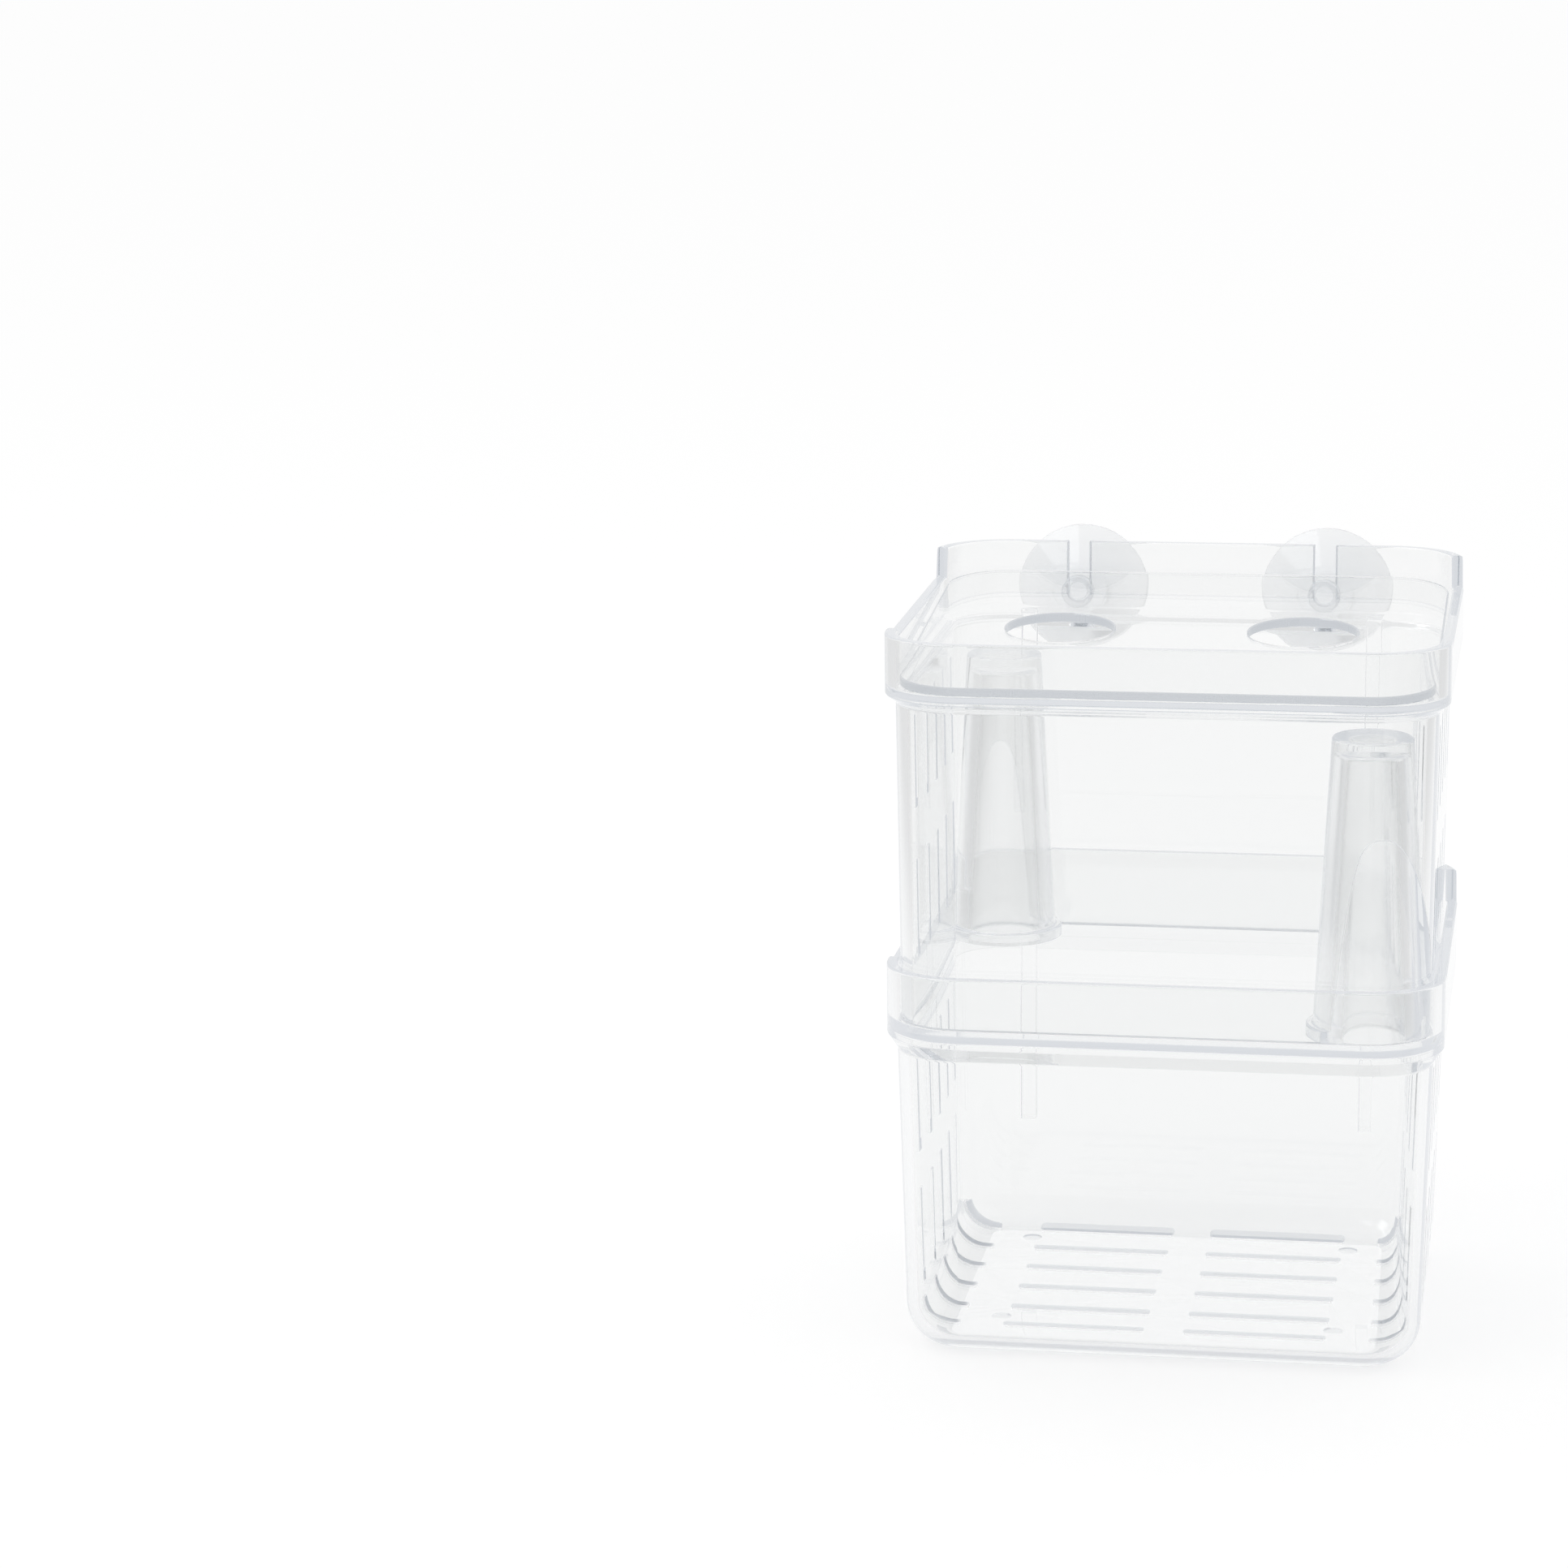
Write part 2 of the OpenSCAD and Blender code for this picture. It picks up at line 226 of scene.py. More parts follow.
# %% Finishes
# The grey of a finish is painted shade for the dark lines of cut faces and edges; its haze is
# roughness.
POLISHED, BLADE_HAZE_AND_PAINTED_SHADE, FLOOR_SLOT_HAZE_AND_PAINTED_SHADE, TURNED_SLOT_HAZE_AND_PAINTED_SHADE, PIN_MARK_HAZE_AND_PAINTED_SHADE, SATIN, PAINTED_CONTACT_SHADE = range(7)
FINISHES = {
    POLISHED: (0.0, 0.0),
    BLADE_HAZE_AND_PAINTED_SHADE: (1.0, 1.0),
    FLOOR_SLOT_HAZE_AND_PAINTED_SHADE: (0.78, 1.0),
    TURNED_SLOT_HAZE_AND_PAINTED_SHADE: (0.55, 1.0),
    PIN_MARK_HAZE_AND_PAINTED_SHADE: (0.3, 1.0),
    SATIN: (0.0, 0.45),
    PAINTED_CONTACT_SHADE: (0.85, 0.6),
}
for finish, (grey, haze) in FINISHES.items():
    print(f"finish {finish}: {grey:.0%} of the dullest faces' grey, {haze:.0%} of their haze")


def set_finish(piece, finish, inside=None):
    """Gives faces a finish: all of them, or those for which inside(face) is true."""
    for face in piece.data.polygons:
        if inside is None or inside(face):
            face.material_index = finish


# %% [markdown]
# A mesh is drawn in millimetres and becomes an object in metres. The sweep joins its rings into
# quads. A shell that is open in the middle, such as the upper tray, closes on itself. A shell
# with a floor ends in two flat faces, one outside and one inside. A screw modifier could turn a
# section too, but only round a circle, and a tray is a rectangle with round corners.


# %% Make an object from a mesh
def new_object(name, bm):
    """An object in metres, with one empty material slot for each finish."""
    bmesh.ops.recalc_face_normals(bm, faces=bm.faces)
    mesh = bpy.data.meshes.new(name)
    bm.to_mesh(mesh)
    bm.free()
    for _ in FINISHES:
        mesh.materials.append(None)
    mesh.transform(Matrix.Scale(MM, 4))
    piece = bpy.data.objects.new(name, mesh)
    bpy.context.scene.collection.objects.link(piece)
    return piece


print("empty slots on a new mesh:", len(FINISHES))


# %% Sweep a section into a mesh
def sweep(name, section, ring, closed, lift=None):
    """section holds (out, z, share of the rim's lift)."""
    bm = bmesh.new()
    loops = []
    for cx, cy, nx, ny in ring:
        loop = []
        for out, z, share in section:
            x, y = cx + nx * out, cy + ny * out
            loop.append(bm.verts.new((x, y, z + (share * lift(y) if lift else 0))))
        loops.append(loop)
    count = len(section)
    for a, b in zip(loops, loops[1:] + loops[:1]):
        for k in range(count if closed else count - 1):
            n = (k + 1) % count
            bm.faces.new((a[k], b[k], b[n], a[n]))
    if not closed:
        bm.faces.new([loop[0] for loop in loops])
        bm.faces.new([loop[-1] for loop in loops])
    piece = new_object(name, bm)
    print(f"{name}: {len(ring)} stations, {len(piece.data.polygons)} faces")
    return piece


# %% [markdown]
# Slots, holes and hollows are cut, which is how the mould's blades and cores shape the plastic
# too. There are two kinds of cutter: a block with rounded upright edges for the slots, and a
# turned shape for everything round. All cutters of one kind go into one mesh, so that each tray
# needs only a few cuts.


# %% Blocks
BLOCK_CORNER_STEPS = 8


def close_prism(bm, rings):
    """Side faces between the rings, and a face at each end."""
    for below, above in zip(rings, rings[1:]):
        for k in range(len(below)):
            n = (k + 1) % len(below)
            bm.faces.new((below[k], below[n], above[n], above[k]))
    bm.faces.new(rings[0])
    bm.faces.new(rings[-1])


def add_block(bm, low, high, radius=0.0, wider_from=None):
    """A block whose edges along z are rounded; from a height on it widens by 45 degrees."""
    heights = [low[2], high[2]] if wider_from is None else [low[2], wider_from, high[2]]
    rings = []
    for z in heights:
        grow = 0 if wider_from is None else max(z - wider_from, 0)
        r = radius + grow if radius else 0
        outline = []
        for quarter, (sx, sy) in enumerate(CORNER_SIDES):
            x = (high[0] if sx > 0 else low[0]) + sx * grow
            y = (high[1] if sy > 0 else low[1]) + sy * grow
            turn = 90 * quarter
            middle = (x - sx * r, y - sy * r)
            outline += arc(middle, r, turn, turn + 90, BLOCK_CORNER_STEPS) if r else [(x, y)]
        rings.append([bm.verts.new((x, y, z)) for x, y in outline])
    close_prism(bm, rings)


print("points round a block with rounded edges:", len(CORNER_SIDES) * (BLOCK_CORNER_STEPS + 1))


# %% Turned shapes
ROUND_STEPS = 96


def circle(radius, height, steps):
    """Points of a level circle about the middle."""
    turn = [2 * math.pi * k / steps for k in range(steps)]
    return [Vector((radius * math.cos(a), radius * math.sin(a), height)) for a in turn]


def add_lathe(bm, center, profile, steps=ROUND_STEPS, place=None):
    """A round solid from (radius, height) pairs, standing on center, or placed by a matrix."""
    place = place or Matrix.Translation(center)
    rings = []
    for radius, height in profile:
        rings.append([bm.verts.new(place @ point) for point in circle(radius, height, steps)])
    close_prism(bm, rings)


def solid(add, *values, finish=POLISHED):
    """An object from one of the add functions, with one finish all over."""
    bm = bmesh.new()
    add(bm, *values)
    piece = new_object("solid", bm)
    set_finish(piece, finish)
    return piece


print("sides of a turned shape:", ROUND_STEPS)


# %% [markdown]
# A cut could stay on the piece as a modifier. Here each one is applied at once, because a clear
# piece must be one closed skin: a face left inside it would show.


# %% Cut and join
def combine(piece, other, operation):
    """Applies an exact boolean to the piece and deletes the other."""
    step = piece.modifiers.new(operation, "BOOLEAN")
    step.operation = operation
    step.solver = "EXACT"
    step.use_self = False
    step.object = other
    bpy.context.view_layer.update()
    graph = bpy.context.evaluated_depsgraph_get()
    done = bpy.data.meshes.new_from_object(piece.evaluated_get(graph))
    piece.modifiers.clear()
    old = piece.data
    name = old.name
    piece.data = done
    bpy.data.meshes.remove(old)
    done.name = name
    bpy.data.objects.remove(other)
    print(f"{piece.name}: {len(done.polygons)} faces after {operation.lower()}")


# %% [markdown]
# A finished mesh is shaded smooth, but its crisp edges stay crisp. Flat shading would show every
# facet of the round corners, and smooth shading alone would make the flat walls bulge near them.
# Weighted normals keep those walls flat to the light, so that only their rounded edges bend it.

# %% Finish a shape
SHARP = math.radians(12)
SAME_POINT = 1e-6
FLAT_WEIGHT = 80


def finish_shape(piece):
    """Cleans a finished mesh, writes its faces' finishes and shades it."""
    bm = bmesh.new()
    bm.from_mesh(piece.data)
    bmesh.ops.remove_doubles(bm, verts=bm.verts, dist=SAME_POINT)
    bmesh.ops.dissolve_degenerate(bm, edges=bm.edges, dist=SAME_POINT)
    bmesh.ops.recalc_face_normals(bm, faces=bm.faces)
    bm.to_mesh(piece.data)
    open_edges = sum(1 for edge in bm.edges if len(edge.link_faces) < 2)
    shared_edges = sum(1 for edge in bm.edges if len(edge.link_faces) > 2)
    bm.free()
    # grey holds the painted shade of a face, haze its roughness.
    grey = piece.data.attributes.new("grey", "FLOAT", "FACE")
    haze = piece.data.attributes.new("haze", "FLOAT", "FACE")
    faces = piece.data.polygons
    cut = sum(1 for face in faces if face.material_index != POLISHED)
    for face, face_painted_shade, face_haze in zip(faces, grey.data, haze.data):
        face_painted_shade.value, face_haze.value = FINISHES[face.material_index]
        face.material_index = 0
        face.use_smooth = True
    piece.data.set_sharp_from_angle(angle=SHARP)
    flats = piece.modifiers.new("keep_flats_flat", "WEIGHTED_NORMAL")
    flats.keep_sharp = True
    flats.weight = FLAT_WEIGHT
    print(f"{piece.name}: {len(faces)} faces, {cut} of them not polished,", end=" ")
    print(f"{open_edges} open edges, {shared_edges} where more than two faces meet")

# %% [markdown]
# The lower tray is the deep one with the floor. Its wall leans in by about a millimetre towards
# the floor so that it leaves the mould, turns into the floor with a big radius, and widens at the
# top into the collar. Both trays have the same kind of collar, so its part of a section is one
# helper. The collar stands on a sloping shoulder, and inside it is a sloping ledge for whatever
# sits on the tray.

# %% The collar in a section
RIM_EDGE_R = 0.45
SHOULDER_R = 1.0
COLLAR_EDGE_R = 0.45
LEDGE_EDGE_R = 0.6


def wall_section(outside, collar_z, rim_z, ledge_z, slope_h, inside):
    """The collar's part of a section between the given outer and inner parts of the wall."""
    points = soften(
        [
            (*outside, 0),
            (body_out, collar_z - slope_h, SHOULDER_R),
            (COLLAR_R, collar_z, COLLAR_EDGE_R),
            (COLLAR_R, rim_z, RIM_EDGE_R),
            (collar_in, rim_z, RIM_EDGE_R),
            (collar_in, ledge_z, LEDGE_EDGE_R),
            (body_in, ledge_z - slope_h, SHOULDER_R),
            (*inside, 0),
        ]
    )
    lift_from = rim_z - 2 * RIM_EDGE_R
    section = [(out, z, 1.0 if z > lift_from else 0.0) for out, z in points]
    print(f"collar from {collar_z:.1f} to {rim_z:.1f} mm: {len(section)} points in the section")
    return section


# %% Section of the lower tray
LOWER_RIM_H = 12.8
LOWER_SLOPE_H = 2.8
LOWER_LEDGE_RISE = 3.1
LOWER_DRAFT = 1.4
FLOOR_T = 2.0
BASE_R = 8.0

lower_rim_z = lower_high[2] - BACK_RISE
lower_collar_z = lower_rim_z - LOWER_RIM_H
lower_ledge_z = lower_collar_z + LOWER_LEDGE_RISE
foot_out = body_out - LOWER_DRAFT
foot_in = foot_out - WALL

outer_turn = arc((foot_out - BASE_R, BASE_R), BASE_R, -90, 0)
inner_turn = arc((foot_in - BASE_R + FLOOR_T, BASE_R), BASE_R - FLOOR_T, 0, -90)
lower_collar = wall_section(
    outer_turn[-1], lower_collar_z, lower_rim_z, lower_ledge_z, LOWER_SLOPE_H, inner_turn[0]
)
lower_section = (
    [(out, z, 0.0) for out, z in outer_turn[:-1]]
    + lower_collar
    + [(out, z, 0.0) for out, z in inner_turn[1:]]
)
print("points in the lower tray's section:", len(lower_section))

# %% Shell of the lower tray
# Heights between which the front of the foot is painted grey: painted contact shade, with a little
# haze.
CONTACT_SHADE_FROM = 0.2
CONTACT_SHADE_TO = 0.9


def in_front_contact_shade(face):
    """Whether a face is on the lowest part of the turn into the floor, in front, where contact
    shade is painted.
    """
    at = face.center / MM
    return at.y < -corner_y and CONTACT_SHADE_FROM < at.z < CONTACT_SHADE_TO


tray_ring = stations(corner_x, corner_y, COLLAR_R - WALL / 2, (notch_from, notch_to))
lower_tray = sweep("clear_lower_tray", lower_section, tray_ring, closed=False, lift=rim_lift)
# The lowest front faces of the foot are painted grey: a painted contact shade where the box meets
# the table.
set_finish(lower_tray, PAINTED_CONTACT_SHADE, in_front_contact_shade)

# %% [markdown]
# Two thin ribs stand on the back of each tray, below the collar. They keep the box clear of the
# aquarium's glass. They could be blocks pushed into the wall, but clear plastic would show the
# skins between them, so they are united with the shell.

# %% Ribs
RIB_SPREAD = 66.0
RIB_W = 3.0
RIB_LEN = 37.0
RIB_INSET = 0.4
RIB_EDGE_R = 0.3


def add_ribs(bm, collar_z, draft):
    inner_y = corner_y + body_out - draft - WALL / 2
    for side in (-1, 1):
        x = side * RIB_SPREAD / 2
        low = (x - RIB_W / 2, inner_y, collar_z - RIB_LEN)
        high = (x + RIB_W / 2, back_y - RIB_INSET, collar_z + WALL / 2)
        add_block(bm, low, high, RIB_EDGE_R)


combine(lower_tray, solid(add_ribs, lower_collar_z, LOWER_DRAFT), "UNION")

# %% [markdown]
# Water flows through six rows of slots in the floor. At both ends of the floor each row turns up
# into the side wall, so that the current reaches the corners as well. A slot's upper edge is
# broken by a quarter of a millimetre: its cutter widens just below the floor's surface. Every
# cutter goes a millimetre past the plastic.

# %% Slots in the floor
PAST = 1.0
SLOT_ROWS = 6
SLOT_PITCH = 11.95
SLOT_SHIFT_Y = 3.6
SLOT_W = 2.1
SLOT_END_R = 0.5
SLOT_EDGE = 0.25
SLOT_START_X = 3.85
SLOT_LEN = 25.4
SLOT_GAP = 8.1
TURNED_TOP = 7.0

slot_rows_y = [SLOT_SHIFT_Y + (row - (SLOT_ROWS - 1) / 2) * SLOT_PITCH for row in range(SLOT_ROWS)]
slot_end_x = SLOT_START_X + SLOT_LEN


def add_slots(bm, from_x, to_x, top, wider_from=None):
    """One slot to each side of the middle in every row."""
    for y in slot_rows_y:
        for side in (-1, 1):
            ends = sorted((side * from_x, side * to_x))
            low, high = (ends[0], y - SLOT_W / 2, -PAST), (ends[1], y + SLOT_W / 2, top)
            add_block(bm, low, high, SLOT_END_R, wider_from)


straight = solid(
    add_slots, SLOT_START_X, slot_end_x, FLOOR_T + PAST, FLOOR_T - SLOT_EDGE, finish=FLOOR_SLOT_HAZE_AND_PAINTED_SHADE
)
combine(lower_tray, straight, "DIFFERENCE")
turned = solid(add_slots, slot_end_x + SLOT_GAP, collar_w / 2, TURNED_TOP, finish=TURNED_SLOT_HAZE_AND_PAINTED_SHADE)
combine(lower_tray, turned, "DIFFERENCE")
print("rows of slots at y =", ", ".join(f"{y:.1f}" for y in slot_rows_y), "mm")

# %% [markdown]
# The side walls have upright slots in line with the floor's rows: a lower row of fixed height and
# an upper row that ends below the collar. An array could repeat one slot, but slots may only go
# where a wall is straight, and a loop can test that.

# %% Slots in the side walls
LOW_ROW_Z = 10.0
LOW_ROW_H = 18.0
TOP_ROW_GAP = 5.0
LOWER_ROW_GAP = 7.0


def add_wall_slots(bm, tray_z, collar_z, inner_x, row_gap):
    low_row = (tray_z + LOW_ROW_Z, tray_z + LOW_ROW_Z + LOW_ROW_H)
    high_row = (low_row[1] + row_gap, collar_z - TOP_ROW_GAP)
    for low, high in (low_row, high_row):
        print(f"wall slots from {low:.1f} to {high:.1f} mm")
    for y in slot_rows_y:
        if abs(y) + SLOT_W / 2 < corner_y:
            for side in (-1, 1):
                ends = sorted((side * inner_x, side * (inner_x + 2 * WALL + STEP_IN)))
                for low, high in (low_row, high_row):
                    add_block(bm, (ends[0], y - SLOT_W / 2, low), (ends[1], y + SLOT_W / 2, high))


lower_slot_x = corner_x + foot_in - STEP_IN / 2
wall_slots = solid(add_wall_slots, 0, lower_collar_z, lower_slot_x, LOWER_ROW_GAP)
combine(lower_tray, wall_slots, "DIFFERENCE")

# %% [markdown]
# Four pins push the tray out of its mould. Each leaves a shallow round mark in the floor, beside
# the slots. A mark could be a ring in the bump, but in clear plastic only a real edge bends the
# light, so it is cut 0.3 mm deep.

# %% Pin marks
PIN_MARK_R = 1.8
PIN_MARK_DEPTH = 0.3
PIN_MARK_FLARE = 0.2
PIN_MARK_OUT = 1.3
PIN_STEPS = 32

mark_x = slot_end_x + PIN_MARK_OUT


def add_pin_marks(bm):
    mark = [(PIN_MARK_R, 0), (PIN_MARK_R + PIN_MARK_FLARE, PAST)]
    for x in (-mark_x, mark_x):
        for y in (slot_rows_y[0] + SLOT_PITCH / 2, slot_rows_y[-1] - SLOT_PITCH / 2):
            add_lathe(bm, (x, y, FLOOR_T - PIN_MARK_DEPTH), mark, PIN_STEPS)


combine(lower_tray, solid(add_pin_marks, finish=PIN_MARK_HAZE_AND_PAINTED_SHADE), "DIFFERENCE")
finish_shape(lower_tray)

# %% [markdown]
# The upper tray has no floor: it is a sleeve whose lower edge stands on the sloping ledge inside
# the lower collar. It could be the lower tray with its floor cut away, but its draft and heights
# differ. Its section is a closed loop, from the foot up the outside, over the rim and back down.

# %% Section of the upper tray
UPPER_RIM_H = 10.9
UPPER_SLOPE_H = 1.4
UPPER_LEDGE_RISE = 1.4
UPPER_DRAFT = 0.75
FOOT_EDGE_R = 0.25

upper_z = upper_low[2]
upper_rim_z = upper_high[2] - BACK_RISE
upper_collar_z = upper_rim_z - UPPER_RIM_H
upper_ledge_z = upper_collar_z + UPPER_LEDGE_RISE
upper_foot_out = body_out - UPPER_DRAFT
upper_foot_in = upper_foot_out - WALL

upper_section = [
    (upper_foot_in + FOOT_EDGE_R, upper_z, 0.0),
    (upper_foot_out - FOOT_EDGE_R, upper_z, 0.0),
] + wall_section(
    (upper_foot_out, upper_z + FOOT_EDGE_R),
    upper_collar_z,
    upper_rim_z,
    upper_ledge_z,
    UPPER_SLOPE_H,
    (upper_foot_in, upper_z + FOOT_EDGE_R),
)
print(f"the upper tray goes from {upper_z:.1f} to {upper_rim_z + BACK_RISE:.1f} mm")

# %% Shell of the upper tray
upper_tray = sweep("clear_upper_tray", upper_section, tray_ring, closed=True, lift=rim_lift)
# The foot's bottom faces are painted grey: painted shade for the line the foot makes through the
# lower collar.
set_finish(upper_tray, BLADE_HAZE_AND_PAINTED_SHADE, lambda face: face.center.z < (upper_z + FOOT_EDGE_R / 2) * MM)

# %% [markdown]
# The float columns are hollow cones, open below, that trap air when the box is set into the
# water. One stands in the front right corner and one in the back left. Each swells out of the
# walls, so that its side meets the flat walls in a long curve. Below it has a thicker rim round
# its mouth.

# %% Float columns
COLUMN_H = 53.8
COLUMN_FOOT_R = 9.9
COLUMN_TOP_R = 7.1
COLUMN_SINK_X = 1.1
COLUMN_SINK_Y = 2.3
MOUTH_RIM_OUT = 1.1
MOUTH_RIM_H = 2.2
MOUTH_EDGE_R = 0.5
MOUTH_FILLET_R = 0.4
TOP_EDGE_R = 0.7
TOP_MIDDLE_R = 1.0
HIDDEN = 0.02

column_x = corner_x + upper_foot_in + COLUMN_SINK_X - COLUMN_FOOT_R
column_y = corner_y + upper_foot_in + COLUMN_SINK_Y - COLUMN_FOOT_R
column_slope = (COLUMN_FOOT_R - COLUMN_TOP_R) / COLUMN_H


def column_r(z):
    return COLUMN_FOOT_R - column_slope * z


def add_turned_pair(bm, outline):
    """The same turned shape on both columns' axes."""
    for side in (-1, 1):
        add_lathe(bm, (side * column_x, -side * column_y, upper_z), outline)


mouth_r = COLUMN_FOOT_R + MOUTH_RIM_OUT
column_outline = soften(
    [
        (mouth_r, HIDDEN, 0),
        (mouth_r, MOUTH_RIM_H, MOUTH_EDGE_R),
        (column_r(MOUTH_RIM_H), MOUTH_RIM_H, MOUTH_FILLET_R),
        (COLUMN_TOP_R, COLUMN_H, TOP_EDGE_R),
        (TOP_MIDDLE_R, COLUMN_H, 0),
    ]
)
print(f"column axes at {column_x:.1f}, {-column_y:.1f} and {-column_x:.1f}, {column_y:.1f} mm")

# %% [markdown]
# To grow a column out of the corner, the round cone is clipped to a block that ends inside the
# walls, and then united with them. Its hollow is cut afterwards, so that the hollow also goes
# through what the wall adds.

# %% Columns into the walls
CLIP_BELOW_COLLAR = 1.0

mid = upper_foot_out - WALL / 2
clip_top_z = upper_collar_z - CLIP_BELOW_COLLAR
clip_section = [(mid, upper_z - PAST, 0.0), (mid + UPPER_DRAFT, clip_top_z, 0.0)]
clip = sweep("clip", clip_section, stations(corner_x, corner_y, mid), closed=False)
columns = solid(add_turned_pair, column_outline)
combine(columns, clip, "INTERSECT")
combine(upper_tray, columns, "UNION")
combine(upper_tray, solid(add_ribs, upper_collar_z, UPPER_DRAFT), "UNION")

# %% Hollows of the columns
COLUMN_T = 3.0
HOLLOW_EDGE_R = 1.0
HOLLOW_MIDDLE_R = 0.5

hollow_h = COLUMN_H - COLUMN_T
hollow_outline = soften(
    [
        (column_r(-PAST) - COLUMN_T, -PAST, 0),
        (column_r(hollow_h) - COLUMN_T, hollow_h, HOLLOW_EDGE_R),
        (HOLLOW_MIDDLE_R, hollow_h, 0),
    ]
)
combine(upper_tray, solid(add_turned_pair, hollow_outline, finish=SATIN), "DIFFERENCE")
print(f"hollows {hollow_h:.1f} mm deep, {column_r(0) - COLUMN_T:.1f} mm radius at the mouth")

# %% [markdown]
# Where a column leaves the wall there is a narrow crevice, and no mould leaves it knife-sharp. It
# ends in a fine round groove, and that is the curved line one sees in front of a column. A bevel
# can't follow a crevice that a boolean made, so the curve is worked out: height by height, it is
# the place where the round of the column crosses the inner face of the wall.

# %% Where a column leaves the wall
HALVINGS = 30
QUARTER_DEG = 90
SEARCH_TURN = math.radians(100)
SEARCH_STEP = 0.05


def out_of_corner(x, y):
    """Distance out from the corner centres, as in a section."""
    return math.hypot(max(abs(x) - corner_x, 0), max(abs(y) - corner_y, 0))


def past_the_wall(angle, z):
    """How far the column's round lies past the wall's inner face at this angle and height."""
    inner = upper_foot_in + UPPER_DRAFT * z / (upper_collar_z - upper_z)
    x, y = column_x + column_r(z) * math.cos(angle), column_y + column_r(z) * math.sin(angle)
    return out_of_corner(x, y) - inner


directions = [math.radians(degrees) for degrees in range(QUARTER_DEG + 1)]
deepest = max(directions, key=lambda angle: past_the_wall(angle, 0))
highest = 0.0
while past_the_wall(deepest, highest) > 0:
    highest += SEARCH_STEP


def crossing(z, turn):
    """The angle, to one side of the deepest one, at which the round comes out of the wall."""
    inside, outside = deepest, deepest + turn * SEARCH_TURN
    for _ in range(HALVINGS):
        middle = (inside + outside) / 2
        if past_the_wall(middle, z) > 0:
            inside = middle
        else:
            outside = middle
    return inside


print(f"the crevices end {highest:.1f} mm above the mouths")

# %% Grooves between the columns and the walls
GROOVE_R = 0.1
GROOVE_SIDES = 8
GROOVE_POINTS = 30
BELOW_HIGHEST = 0.1


def groove_path():
    """Up one side of the curve and down the other, for the column on the right."""
    path = []
    for k in range(-GROOVE_POINTS, GROOVE_POINTS + 1):
        t = k / GROOVE_POINTS
        z = MOUTH_RIM_H + (highest - BELOW_HIGHEST - MOUTH_RIM_H) * (1 - t * t)
        angle = crossing(z, -1 if k < 0 else 1)
        x = column_x + column_r(z) * math.cos(angle)
        y = column_y + column_r(z) * math.sin(angle)
        path.append(Vector((x, y, upper_z + z)))
    return path


def add_grooves(bm, path):
    across = circle(GROOVE_R, 0, GROOVE_SIDES)
    for side in (1, -1):
        place = Matrix.Diagonal((side, -side, 1, 1))
        rings = []
        for before, here, after in zip(path[:1] + path, path, path[1:] + path[-1:]):
            along = (after - before).to_track_quat("Z", "Y")
            rings.append([bm.verts.new(place @ (here + along @ point)) for point in across])
        close_prism(bm, rings)


path = groove_path()
combine(upper_tray, solid(add_grooves, path), "DIFFERENCE")
print(f"a groove runs from {path[0].z:.1f} mm up to {max(p.z for p in path):.1f} mm and down again")

# %% Slots in the upper side walls
UPPER_ROW_GAP = 9.5

upper_slot_x = corner_x + upper_foot_in - STEP_IN / 4
wall_slots = solid(add_wall_slots, upper_z, upper_collar_z, upper_slot_x, UPPER_ROW_GAP)
combine(upper_tray, wall_slots, "DIFFERENCE")

# %% [markdown]
# Two slots in the back of the upper collar are open above. The neck of a suction cup drops into
# each one and comes to rest in its round bottom. Their edges are broken, so that they don't cut
# the soft neck. A bevel would have to find those edges again after the cut, so the cutter does
# it: it is narrow inside the wall and flares towards both of its faces.

# %% Neck slots, then finish the upper tray
NECK_SLOT_W = 4.0
NECK_EDGE = 0.3
NECK_ARC_STEPS = 24
ABOVE_RIM = 5.0

cup_at = [Vector(mounts[name]["pos_m"]) / MM for name in ("glass_face_left", "glass_face_right")]
cup_z = cup_at[0].z


def add_neck_slots(bm):
    half = NECK_SLOT_W / 2
    wide = half + PAST + NECK_EDGE
    flared = [
        (back_y + PAST, wide),
        (back_y - NECK_EDGE, half),
        (back_y - WALL + NECK_EDGE, half),
        (back_y - WALL - PAST, wide),
    ]
    top = upper_high[2] + ABOVE_RIM
    for cup in cup_at:
        rings = []
        for y, reach in flared:
            bottom = arc((cup.x, cup_z), reach, 180, 360, NECK_ARC_STEPS)
            outline = bottom + [(cup.x + reach, top), (cup.x - reach, top)]
            rings.append([bm.verts.new((x, y, z)) for x, z in outline])
        close_prism(bm, rings)


combine(upper_tray, solid(add_neck_slots, finish=BLADE_HAZE_AND_PAINTED_SHADE), "DIFFERENCE")
finish_shape(upper_tray)

# %% [markdown]
# The lid is a loose flat plate with two feed holes. It lies askew in the collar: its front edge
# is on the ledge and its back is propped on the buttons of the suction cups. The feed holes'
# mounts in the record say where its middle is and how far it leans, so it is made flat and laid
# into place at the end.

# %% Section of the lid
LID_T = 1.7
LID_GAP = 0.7
LID_EDGE_R = 0.3
ROUND_MIDDLE = 0.3

half_t = LID_T / 2
lid_out = collar_in - LID_GAP
cut_in = LID_EDGE_R * ROUND_MIDDLE
lower_edge = [
    (lid_out - LID_EDGE_R, -half_t),
    (lid_out - cut_in, -half_t + cut_in),
    (lid_out, -half_t + LID_EDGE_R),
]
upper_edge = [(out, -z) for out, z in reversed(lower_edge)]
lid_section = [(out, z, 0.0) for out, z in lower_edge + upper_edge]
print("points in the lid's section:", len(lid_section))

# %% The lid
HOLE_EDGE = 0.2
HOLE_STEPS = 128

